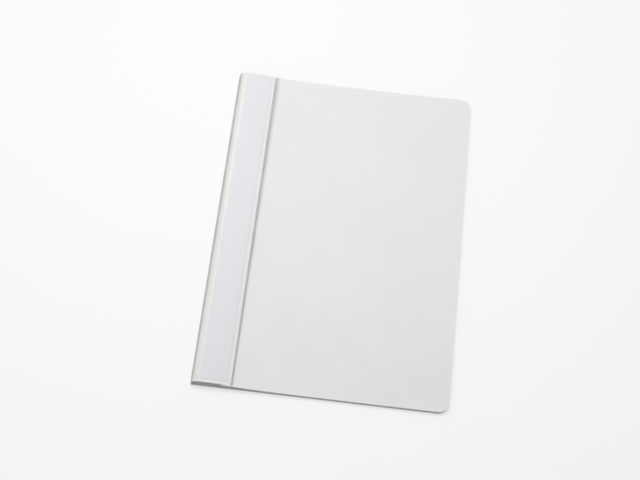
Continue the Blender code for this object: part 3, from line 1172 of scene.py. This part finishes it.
@dataclass
class FrontCover(Assembly):
    """The cover's film: its margin under the strip, the hinge groove, and the cover itself."""

    tab_width: float = 0.008
    groove_depth: float = 0.0015
    groove_offset: float = 0.0009
    groove_run: float = 0.0009
    crease_start: float = 0.0356
    crease_width: float = 0.0028
    # The painted shade in the groove: how far it lies from the strip's edge, how it drifts and widens towards the
    # head and how it fades to both ends
    mark_offset: float = 0.0018
    mark_drift: float = 0.0006
    mark_run: float = 0.0017
    mark_spread: float = 0.30
    mark_fade: float = 0.14
    settle: float = 0.024
    fore_edge_lift: float = 0.0012
    fore_edge_run: float = 0.076
    wave: float = 0.00016
    wave_start: float = 0.080
    waves_across: float = 22.0
    waves_along: float = 16.0
    wave_slice: float = 0.5
    foot_lift: float = 0.0003
    foot_run: float = 0.035
    corner_steps: int = 12
    groove_steps: int = 48
    tab_step: float = 0.002
    column_step: float = 0.005
    row_step: float = 0.005

    @property
    def crease_end(self) -> float:
        """Where the groove's film stops bending, from the spine."""
        return self.crease_start + self.crease_width

    def groove(self, run: float) -> float:
        """Depth of the pressed groove at a distance from the strip's edge."""
        return self.groove_depth * math.exp(-(((run - self.groove_offset) / self.groove_run) ** 2))

    def fold_mark(self, run: float, y: float) -> float:
        """How much painted shade the groove gets, in a line that widens to the head and fades to both ends.

        Args:
            run: Distance from the strip's edge.
            y: Place along the folder.

        Returns:
            The share of painted shade, from 0 to 1.
        """
        side = y / SIZES.half_length
        width = self.mark_run * (1 + self.mark_spread * side)
        depth = 1 - self.mark_fade * abs(side)
        return depth * math.exp(-(((run - self.mark_offset - self.mark_drift * side) / width) ** 2))

    def top(self, x: float) -> float:
        """Height of the film's upper face, without its ripple.

        Args:
            x: Distance from the spine.

        Returns:
            The height.
        """
        tab = SIZES.strip_top(min(x, SIZES.strip_width)) - SIZES.sheet_film - SIZES.seam_gap
        if x <= SIZES.strip_width:
            return tab
        rest = SIZES.sheet_film + SIZES.cover_rest + SIZES.cover_film
        rise = tab + self.groove(0) - rest
        run = x - SIZES.strip_width
        lift = max(0.0, (x - (SIZES.width - self.fore_edge_run)) / self.fore_edge_run)
        return rest + rise * math.exp(-run / self.settle) - self.groove(run) + self.fore_edge_lift * lift**2

    def ripple(self, x: float, y: float) -> float:
        """The film's slight waviness, which fades out towards the groove, and the curl of its foot.

        Args:
            x: Distance from the spine.
            y: Place along the folder.

        Returns:
            The rise of the film.
        """
        share = unit((x - self.wave_start) / self.wave_start)
        across = unit((x - SIZES.strip_width) / (SIZES.width - SIZES.strip_width))
        curl = self.foot_lift * math.sin(math.pi * across) * near_foot(y, self.foot_run) ** 2
        spot = Vector((x * self.waves_across, y * self.waves_along, self.wave_slice))
        return self.wave * share * noise.noise(spot) + curl

    def build(self) -> None:
        """Makes the cover as one sheet, cut most finely over the groove and a little past it."""
        outline = cover_outline()
        corner = outline.corner_stations(self.corner_steps)
        edge = SIZES.strip_width
        fine_end = self.crease_end + 2 * self.crease_width
        xs = stations(edge - self.tab_width, edge, self.tab_step)[:-1]
        xs += even(edge, fine_end, self.groove_steps)
        xs += stations(fine_end, corner[0], self.column_step)[1:-1] + corner
        ys = stations(-outline.half, outline.half, self.row_step)
        grid = []
        for x in xs:
            rows = [outline.along(x, y) for y in ys]
            grid.append([place(x, y, self.top(x) + self.ripple(x, y)) for y in rows])
        # The fold mark is the painted shade in the groove beside the strip's edge
        marks = {"fold": lambda i, j: self.fold_mark(xs[i] - edge, ys[j])}
        self.pieces.append(Sheet("cover_sheet", grid, SIZES.cover_film, marks=marks).build())

    def dress(self, looks: Looks) -> None:
        """Dresses the cover in the grey film and bakes its place into its mesh.

        Args:
            looks: The materials.
        """
        cover = self.pieces[0]
        cover.data.materials.append(looks.of(COVER_FILM))
        height = self.top(self.crease_start)
        ends = [place(x, 0, height) for x in (self.crease_start, self.crease_end)]
        self.hinge(cover, Body.STRIP, Body.COVER, *ends)
        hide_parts("cover_tab", "cover_crease", "front_cover")


@dataclass
class LabelPocket(Assembly):
    """The clear film welded to the strip, and the paper label in it."""

    film: float = 0.0002
    end_inset: float = 0.001
    spine_margin: float = 0.006
    groove_margin: float = 0.0005
    weld: float = 0.0015
    weld_gap: float = 0.00003
    weld_press: float = 0.00006
    step: float = 0.0012
    paper: float = 0.0002
    paper_spine_gap: float = 0.0032
    paper_groove_gap: float = 0.0025
    paper_head: float = 0.002
    paper_foot: float = 0.004
    film_edge: float = 0.00005
    film_wear: float = 0.0008
    paper_edge: float = 0.00003
    paper_wear: float = 0.001
    border_steps: int = 10
    film_steps: int = 14
    paper_step: float = 0.002
    row_step: float = 0.006

    @property
    def height(self) -> float:
        """Height of the clear film's top over the strip."""
        return 2 * SIZES.seam_gap + self.paper + self.film

    @property
    def welded_height(self) -> float:
        """Height of the clear film's top where it is welded down."""
        return self.weld_gap + self.film

    def rise(self, inside: float) -> float:
        """Height of the film's top over the strip.

        Args:
            inside: Distance from the film's welded edge.

        Returns:
            The height: pressed in the weld, then rising in a smooth step.
        """
        if inside >= self.weld:
            share = unit((inside - self.weld) / self.step)
            share = share * share * (3 - 2 * share)
            return self.welded_height + (self.height - self.welded_height) * share
        dent = math.sin(math.pi * inside / self.weld) ** 2
        return self.welded_height - self.weld_press * dent

    def weld_mark(self, inside: float) -> float:
        """How whitened the film is, from 1 in a weld to 0 past its step."""
        return unit(1 - (inside - self.weld) / self.step)

    def build(self) -> None:
        """Makes the clear film and the label."""
        left = self.spine_margin
        right = SIZES.strip_width - self.groove_margin
        self.pieces.append(self.build_film(left, right))
        self.pieces.append(self.build_paper(left, right))

    def build_film(self, left: float, right: float) -> Piece:
        """Makes the clear film, with close rows in its welds.

        Args:
            left: Where it starts, from the spine.
            right: Where it ends.

        Returns:
            The piece.
        """
        border = even(0, self.weld + self.step, self.border_steps)
        first = [left + d for d in border]
        last = [right - d for d in reversed(border)]
        xs = first + even(first[-1], last[0], self.film_steps)[1:-1] + last
        foot = -SIZES.half_length + self.end_inset
        head = SIZES.half_length - self.end_inset
        ys = [foot + d for d in border]
        ys += stations(ys[-1], head, self.row_step)[1:]
        grid, inside = [], []
        for x in xs:
            depths = [min(x - left, right - x, y - foot) for y in ys]
            grid.append([place(x, y, SIZES.strip_top(x) + self.rise(d)) for y, d in zip(ys, depths)])
            inside.append(depths)
        marks = {"fold": lambda i, j: self.weld_mark(inside[i][j])}
        reach = self.film_wear
        return Sheet("pocket_window", grid, self.film, edge=self.film_edge, wear_reach=reach, marks=marks).build()

    def build_paper(self, left: float, right: float) -> Piece:
        """Makes the label, lying on the strip under the film.

        Args:
            left: Where the film starts, from the spine.
            right: Where the film ends.

        Returns:
            The piece.
        """
        xs = stations(left + self.paper_spine_gap, right - self.paper_groove_gap, self.paper_step)
        foot, head = self.paper_foot - SIZES.half_length, SIZES.half_length - self.paper_head
        ys = stations(foot, head, self.row_step)
        lift = SIZES.seam_gap + self.paper
        grid = [[place(x, y, SIZES.strip_top(x) + lift) for y in ys] for x in xs]
        return Sheet("paper_label", grid, self.paper, edge=self.paper_edge, wear_reach=self.paper_wear).build()

    def dress(self, looks: Looks) -> None:
        """Dresses the film and the label and fixes them to their bodies.

        Args:
            looks: The materials.
        """
        window, label = self.pieces
        window.data.materials.append(looks.of(CLEAR_FILM))
        window.visible_shadow = False
        self.carry(window, Body.STRIP, Slot.WINDOW_FILM, "label_window")
        label.data.materials.append(looks.of(LABEL_PAPER))
        self.carry(label, Body.LABEL, Slot.LABEL_PAPER, "label_insert")


@dataclass
class Fastener(Assembly):
    """The tinplate prongs under their film flap, the bar over them and the two sliding locks.

    The first sizes are those of the solids and their rubbed edges, the next ones those of the pressed detail. The
    last ones say how finely the sheets are cut, and how far other points keep from a prong's nose or a slot's edge.
    """

    centre: float = 0.018
    seat_gap: float = 0.00025
    spacing: float = 0.080
    prong_width: float = 0.005
    prong_metal: float = 0.00035
    prong_reach: float = 0.027
    prong_bend: float = 0.0008
    slot_side_gap: float = 0.0004
    slot_width: float = 0.0022
    flap_film: float = 0.0004
    flap_width: float = 0.026
    flap_end: float = 0.034
    flap_step: float = 0.0012
    flap_corner: float = 0.004
    flap_weld: float = 0.0022
    bar_width: float = 0.009
    bar_metal: float = 0.00035
    bar_depth: float = 0.0013
    bar_end: float = 0.012
    bar_bend: float = 0.0006
    lock_metal: float = 0.0003
    lock_length: float = 0.010
    lock_lip: float = 0.0025
    lock_bend: float = 0.0006
    lock_cover: float = 0.001
    edge: float = 0.00008
    metal_wear: float = 0.0007
    lock_wear: float = 0.0006

    bead_rise: float = 0.0004
    bead_half: float = 0.010
    bead_round: float = 0.002
    rib_rise: float = 0.00025
    rib_pitch: float = 0.002
    rib_reach: float = 0.003
    rib_margin: float = 0.001
    tip_share: float = 0.2

    flap_corner_steps: int = 8
    flap_steps: int = 16
    flap_row_step: float = 0.004
    bend_steps: int = 6
    nose_steps: int = 8
    prong_step: float = 0.004
    prong_shares: tuple[float, ...] = (-1, -0.93, -0.7, -0.35, 0, 0.35, 0.7, 0.93, 1)
    bar_bend_steps: int = 5
    bar_step: float = 0.0006
    bar_row_step: float = 0.003
    lock_step: float = 0.0007
    lock_row_step: float = 0.00035
    lock_close_rows: tuple[float, ...] = (0.0, 0.0002, 0.0005)
    nose_clear: float = 0.000125
    flap_clear: float = 0.0003
    flap_row_clear: float = 0.0006
    bar_clear: float = 0.0002
    bar_row_clear: float = 0.0005

    @property
    def base_bottom(self) -> float:
        """Height of the underside of the prongs' base."""
        return SIZES.sheet_film + self.seat_gap

    @property
    def flap_top(self) -> float:
        """Height of the raised middle of the flap."""
        return self.base_bottom + self.prong_metal + self.seat_gap + self.flap_film

    @property
    def lock_bottom(self) -> float:
        """Height of the underside of the locks' lips."""
        return self.flap_top + self.seat_gap

    @property
    def bar_bottom(self) -> float:
        """Height of the bar's underside."""
        return self.lock_bottom + self.lock_metal + self.seat_gap

    @property
    def prong_top(self) -> float:
        """Height of the folded prongs' upper face."""
        return self.bar_bottom + self.bar_metal + self.seat_gap + self.prong_metal

    @property
    def lock_top(self) -> float:
        """Height of the locks' upper face."""
        return max(self.prong_top, self.bar_bottom + self.bar_depth) + self.seat_gap + self.lock_metal

    @property
    def tip(self) -> float:
        """Distance of each prong's tip from the middle of the folder."""
        return self.spacing / 2 - self.prong_reach

    @property
    def slot_reach(self) -> float:
        """Half of the slots' length, across the folder."""
        return self.prong_width / 2 + self.slot_side_gap

    def slot_lines(self) -> list[float]:
        """Where the slots begin and end along the folder."""
        half = self.slot_width / 2
        return [side * self.spacing / 2 + d for side in (-1, 1) for d in (-half, half)]

    def slot_cells(self, xs: Sequence[float], ys: Sequence[float]) -> frozenset[Cell]:
        """The grid cells that the prongs' slots cut away.

        Args:
            xs: The grid's distances across, from the middle of the fastener.
            ys: The grid's places along the folder.

        Returns:
            The cells, by their first corner.
        """
        across = [i for i, (a, b) in enumerate(zip(xs, xs[1:])) if abs(a + b) / 2 < self.slot_reach]
        middles = [abs(c + d) / 2 for c, d in zip(ys, ys[1:])]
        along = [j for j, y in enumerate(middles) if abs(y - self.spacing / 2) < self.slot_width / 2]
        return frozenset((i, j) for i in across for j in along)

    def build(self) -> None:
        """Makes the flap, the prongs, the bar and the locks."""
        self.pieces.append(self.build_flap())
        self.pieces.append(self.build_prongs())
        self.pieces.append(self.build_bar())
        self.pieces.append(self.build_lock("upper_slide", 1))
        self.pieces.append(self.build_lock("lower_slide", -1))

    def build_flap(self) -> Piece:
        """Makes the film flap, pressed along its weld and raised over the prongs' base.

        Returns:
            The piece.
        """
        half_width, radius = self.flap_width / 2, self.flap_corner
        raised = self.slot_reach + self.flap_step
        land = self.base_bottom + self.flap_film
        outline = Outline(-half_width, half_width, self.spacing / 2 + self.flap_end, radius, radius)
        corner = outline.corner_stations(self.flap_corner_steps)
        right = [*even(0, corner[0], self.flap_steps), *corner[1:]]
        right = with_lines(right, [self.slot_reach, raised], self.flap_clear)
        xs = [-x for x in reversed(right[1:])] + right
        ys = stations(-outline.half, outline.half, self.flap_row_step)
        ys = with_lines(ys, self.slot_lines(), self.flap_row_clear)
        grid, welds = [], []
        for x in xs:
            share = unit((raised - abs(x)) / self.flap_step)
            height = land + (self.flap_top - land) * share
            rows = [outline.along(x, y) for y in ys]
            edges = [min(half_width - abs(x), outline.half - abs(y)) for y in rows]
            pressed = [max(0.0, 1 - abs(d - self.flap_weld) / (self.flap_weld / 2)) for d in edges]
            grid.append([place(self.centre + x, y, height - self.edge * p) for y, p in zip(rows, pressed)])
            welds.append(pressed)
        marks = {"fold": lambda i, j: welds[i][j]}
        holes = self.slot_cells(xs, ys)
        return Sheet("flap_sheet", grid, self.flap_film, edge=self.edge, holes=holes, marks=marks).build()

    def build_prongs(self) -> Piece:
        """Makes the prong strip: its base, and its two round ends folded in over the bar.

        Returns:
            The piece.
        """
        far = self.spacing / 2 + self.prong_metal / 2
        loop = [(-self.tip, self.prong_top), (-far, self.prong_top), (-far, self.base_bottom)]
        loop += [(far, self.base_bottom), (far, self.prong_top), (self.tip, self.prong_top)]
        path = rounded(loop, self.prong_bend, self.bend_steps, self.prong_step)
        half = self.prong_width / 2
        nose = [half * (1 - math.cos(math.radians(a))) for a in even(0, 90, self.nose_steps)]
        first = [(-self.tip - d, self.prong_top) for d in nose]
        last = [(self.tip + d, self.prong_top) for d in reversed(nose)]
        past = self.tip + half + self.nose_clear
        path = first + [(y, z) for y, z in path[1:-1] if abs(y) > past or z < self.bar_bottom] + last
        grid = []
        for y, z in path:
            inside = min(half, abs(y) - self.tip) if z > self.bar_bottom else half
            reach = math.sqrt(max(0.0, half**2 - (half - inside) ** 2))
            reach = max(reach, half * self.tip_share)
            grid.append([place(self.centre + reach * share, y, z) for share in self.prong_shares])
        reach = self.metal_wear
        return Sheet("prong_strip_metal", grid, self.prong_metal, edge=self.edge, wear_reach=reach).build()

    def build_bar(self) -> Piece:
        """Makes the channel that presses on the sheets, with its slots and a pressed bead.

        Returns:
            The piece.
        """
        half = self.bar_width / 2
        low, high = self.bar_bottom, self.bar_bottom + self.bar_depth
        channel = [(half, high), (half, low), (-half, low), (-half, high)]
        path = rounded(channel, self.bar_bend, self.bar_bend_steps, self.bar_step)
        base = [point for point in path if abs(point[1] - low) < LEVEL]
        first, last = path.index(base[0]), path.index(base[-1])
        lines = [self.slot_reach, -self.slot_reach]
        flat = with_lines([x for x, _ in base], lines, self.bar_clear)
        run = path[:first] + [(x, low) for x in reversed(flat)] + path[last + 1 :]
        limit = half + self.seat_gap
        outline = Outline(-limit, limit, self.spacing / 2 + self.bar_end, limit, limit)
        ys = stations(-outline.half, outline.half, self.bar_row_step)
        ys = with_lines(ys, self.slot_lines(), self.bar_row_clear)
        grid = []
        for x, z in run:
            rows = [outline.along(x, y) for y in ys]
            grid.append([place(self.centre + x, y, z + self.bead(x, y, z)) for y in rows])
        cells = self.slot_cells([x for x, _ in run], ys)
        holes = frozenset((i, j) for i, j in cells if abs(run[i][1] - low) < LEVEL)
        reach = self.metal_wear
        return Sheet("bar_metal", grid, self.bar_metal, edge=self.edge, wear_reach=reach, holes=holes).build()

    def bead(self, x: float, y: float, z: float) -> float:
        """Rise of the stiffening bead that is pressed into the middle of the bar.

        Args:
            x: Distance from the bar's middle, across.
            y: Place along the folder.
            z: Height in the bar's section.

        Returns:
            The rise, none on the bar's walls.
        """
        if z > self.bar_bottom + LEVEL:
            return 0.0
        along = max(0.0, abs(y) - self.bead_half) / self.bead_round
        across = abs(x) / self.bead_round
        return self.bead_rise * max(0.0, 1 - along**2 - across**2)

    def build_lock(self, name: str, side: int) -> Piece:
        """Makes a lock: a sleeve round the bar with ribs for the thumb.

        Args:
            name: The piece's name.
            side: 1 for the lock towards the head, -1 for the one towards the foot.

        Returns:
            The piece.
        """
        half = self.bar_width / 2 + self.seat_gap + self.lock_metal
        lip = half - self.lock_lip
        low, high = self.lock_bottom, self.lock_top
        wrap = [(-lip, low), (-half, low), (-half, high), (half, high), (half, low), (lip, low)]
        path = rounded(wrap, self.lock_bend, self.bend_steps, self.lock_step)
        inner = self.tip + self.lock_cover
        ys = stations(inner, inner + self.lock_length, self.lock_row_step, self.lock_close_rows)
        grid = []
        for x, z in path:
            row = [place(self.centre + x, side * y, z + self.rib(x, y - inner, z)) for y in ys]
            grid.append(row if side > 0 else row[::-1])
        return Sheet(name, grid, self.lock_metal, edge=self.edge, wear_reach=self.lock_wear).build()

    def rib(self, x: float, along: float, z: float) -> float:
        """Rise of the thumb ribs on a lock's upper face.

        Args:
            x: Distance from the lock's middle, across.
            along: Distance from the lock's inner end.
            z: Height in the lock's section.

        Returns:
            The rise, none beside the ribs.
        """
        middle = abs(along - self.lock_length / 2)
        if z < self.lock_top - LEVEL or middle > self.rib_reach:
            return 0.0
        across = max(0.0, 1 - (abs(x) / (self.bar_width / 2 - self.rib_margin)) ** 2)
        wave = (1 + math.cos(2 * math.pi * middle / self.rib_pitch)) / 2
        return self.rib_rise * across * wave

    def dress(self, looks: Looks) -> None:
        """Dresses the flap in film and the rest in tinplate, and fixes them to their bodies.

        Args:
            looks: The materials.
        """
        flap, prongs, bar, upper, lower = self.pieces
        flap.data.materials.append(looks.of(SHEET_FILM))
        tin = looks.of(TINPLATE)
        for piece in (prongs, bar, upper, lower):
            piece.data.materials.append(tin)
        self.carry(flap, Body.BACK, Slot.SHEET_FILM, "fastener_flap")
        self.carry(prongs, Body.BACK, Slot.TINPLATE, "prong_strip")
        self.carry(bar, Body.BACK, Slot.TINPLATE, "compressor_bar")
        self.carry(upper, Body.UPPER_LOCK, Slot.TINPLATE, "upper_lock")
        self.carry(lower, Body.LOWER_LOCK, Slot.TINPLATE, "lower_lock")


@dataclass
class Studio:
    """A pale floor, soft light from above and a camera at the photograph's angle."""

    floor_colour: Colour = (0.96, 0.96, 0.96)
    floor_white: float = 0.62
    floor_radius: float = 14.0
    floor_sides: int = 96
    floor_drop: float = 0.00005
    floor_roughness: float = 0.9
    floor_specular: float = 0.1
    near_floor: float = 0.30
    far_floor: float = 0.80
    ambient: float = 0.45
    key_place: Triple = (-0.13, 0.12, 0.95)
    key_turn: Triple = (25.0, 2.0, 0.0)
    key_size: float = 0.40
    key_power: float = 6.1
    camera_place: Triple = (-0.001, -0.40218, 0.96555)
    camera_turn: Triple = (22.2983, -1.7676, 6.4321)
    lens: float = 63.6773
    sensor: float = 36.0

    def set_up(self) -> None:
        """Makes the floor, the light and the camera."""
        self.make_floor()
        self.make_light()
        self.make_camera()
        bpy.context.scene.view_settings.view_transform = "Standard"

    def make_floor(self) -> None:
        """Makes a round floor that goes over to plain white well away from the folder."""
        bm = bmesh.new()
        bmesh.ops.create_circle(bm, cap_ends=True, radius=self.floor_radius, segments=self.floor_sides)
        mesh = bpy.data.meshes.new("floor")
        bm.to_mesh(mesh)
        bm.free()
        floor = bpy.data.objects.new("floor", mesh)
        floor.location.z = -self.floor_drop
        bpy.context.scene.collection.objects.link(floor)
        material, graph, shader = new_material("pale_floor")
        colour = (*self.floor_colour, 1.0)
        graph.feed(shader, base_color=colour, roughness=self.floor_roughness, specular_ior_level=self.floor_specular)
        length = graph.add("VectorMath")
        length.operation = "LENGTH"
        graph.join(length.inputs[0], SharedEffects.where(graph))
        far = graph.span(length.outputs["Value"], self.near_floor, self.far_floor, self.floor_white)
        white = graph.add("Emission", color=colour, strength=1.0)
        mix = graph.add("MixShader")
        shown = graph.math("MULTIPLY", far, self.seen(graph))
        for socket, value in zip(mix.inputs, (shown, shader.outputs[0], white.outputs[0])):
            graph.join(socket, value)
        output = next(n for n in material.node_tree.nodes if n.type == "OUTPUT_MATERIAL")
        graph.join(output.inputs["Surface"], mix.outputs[0])
        mesh.materials.append(material)

    @staticmethod
    def seen(graph: Graph) -> Socket:
        """Tells rays that show the background, straight or in metal and clear film, from the rest.

        Args:
            graph: The graph of the floor or the world.

        Returns:
            1 for such rays and 0 for the rest.
        """
        path = graph.add("LightPath")
        shown = graph.math("MAXIMUM", path.outputs["Is Camera Ray"], path.outputs["Is Glossy Ray"])
        return graph.math("MAXIMUM", shown, path.outputs["Is Transmission Ray"])

    def make_light(self) -> None:
        """Makes the even light all round and the large soft lamp over the folder."""
        world = bpy.data.worlds.new("studio")
        world.use_nodes = True
        graph = Graph(world.node_tree)
        background = next(n for n in world.node_tree.nodes if n.type == "BACKGROUND")
        strength = graph.span(self.seen(graph), 0, 1, self.ambient, 1.0)
        graph.feed(background, color=(1.0, 1.0, 1.0, 1.0), strength=strength)
        bpy.context.scene.world = world
        lamp = bpy.data.lights.new("soft_key", "AREA")
        lamp.shape = "SQUARE"
        lamp.size = self.key_size
        lamp.energy = self.key_power
        key = bpy.data.objects.new("soft_key", lamp)
        key.location = self.key_place
        key.rotation_euler = [math.radians(a) for a in self.key_turn]
        bpy.context.scene.collection.objects.link(key)

    def make_camera(self) -> None:
        """Makes the camera at the photograph's place and angle."""
        lens = bpy.data.cameras.new("camera")
        lens.lens = self.lens
        lens.sensor_width = self.sensor
        camera = bpy.data.objects.new("camera", lens)
        camera.location = self.camera_place
        camera.rotation_euler = [math.radians(a) for a in self.camera_turn]
        bpy.context.scene.collection.objects.link(camera)
        bpy.context.scene.camera = camera


def main() -> None:
    """Builds and dresses every sub-assembly, then the studio round them."""
    logging.basicConfig(level=logging.INFO, format="%(name)s: %(message)s")
    looks = Looks()
    for assembly in (BackSheet(), FrontCover(), LabelPocket(), Fastener()):
        assembly.build()
        assembly.dress(looks)
        for piece in assembly.pieces:
            LOG.info("%s: %d faces", piece.name, len(piece.data.polygons))
    Studio().set_up()


if __name__ == "__main__":
    main()
